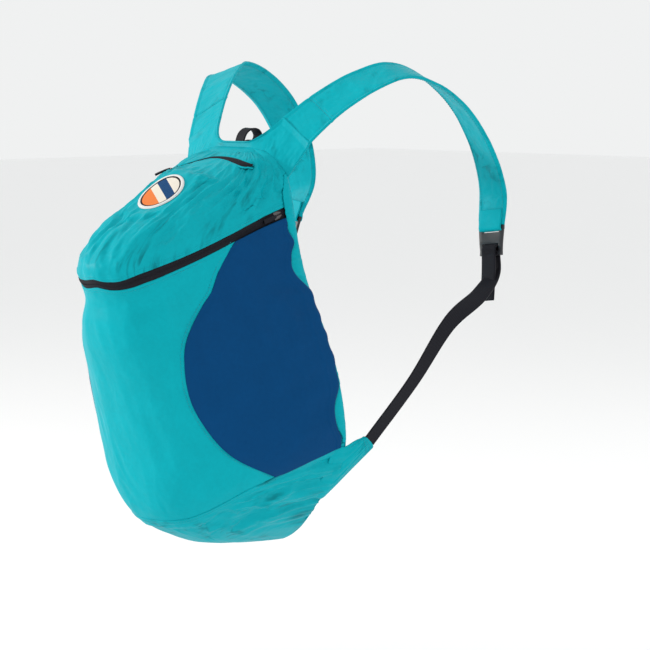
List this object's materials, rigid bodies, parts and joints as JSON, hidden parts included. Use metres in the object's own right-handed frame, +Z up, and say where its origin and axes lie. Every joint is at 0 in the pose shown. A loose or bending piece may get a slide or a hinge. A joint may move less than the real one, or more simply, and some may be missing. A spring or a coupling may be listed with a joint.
{
  "type": "packable backpack",
  "caption": "Light packable backpack of thin two-colour nylon with a curved main zip, open-backed side pockets, a top pocket and webbing-adjusted shoulder straps, in its worn shape.",
  "frame": {"origin": "midway between the undersides of the two shoulder straps where they lie on the shoulders", "axes": "+X towards the wearer's right, +Y from the bag towards the wearer's front, +Z up"},
  "size_m": [0.3434, 0.4058, 0.472],
  "materials": {
    "turquoise_cloth": "thin crinkled ripstop nylon with a faint sheen",
    "navy_cloth": "thin crinkled nylon with a faint sheen",
    "black_webbing": "flat woven webbing",
    "zip_tape": "woven zip tape with a fine coil",
    "black_plastic": "moulded, satin",
    "slider_metal": "plated, lightly worn",
    "patch_thread": "embroidered"
  },
  "bodies": {
    "root": {"back_panel": "turquoise_cloth", "front_panel": "turquoise_cloth", "side_panel_right": "turquoise_cloth", "side_panel_left": "turquoise_cloth", "base_panel": "turquoise_cloth", "lid_panel": "turquoise_cloth", "side_edging_right": "turquoise_cloth", "side_edging_left": "turquoise_cloth", "yoke": "turquoise_cloth", "shoulder_strap_right": "turquoise_cloth", "shoulder_strap_left": "turquoise_cloth", "corner_tab_right": "turquoise_cloth", "corner_tab_left": "turquoise_cloth", "side_pocket_right": "navy_cloth", "side_pocket_left": "navy_cloth", "webbing_right": "black_webbing", "webbing_left": "black_webbing", "hang_loop": "black_webbing", "main_zip": "zip_tape", "top_zip": "zip_tape", "main_zip_pull": "zip_tape", "top_zip_pull": "zip_tape", "ladder_lock_right": "black_plastic", "ladder_lock_left": "black_plastic", "top_zip_slider": "black_plastic", "main_zip_slider": "slider_metal", "patch": "patch_thread"}
  },
  "joints": []
}
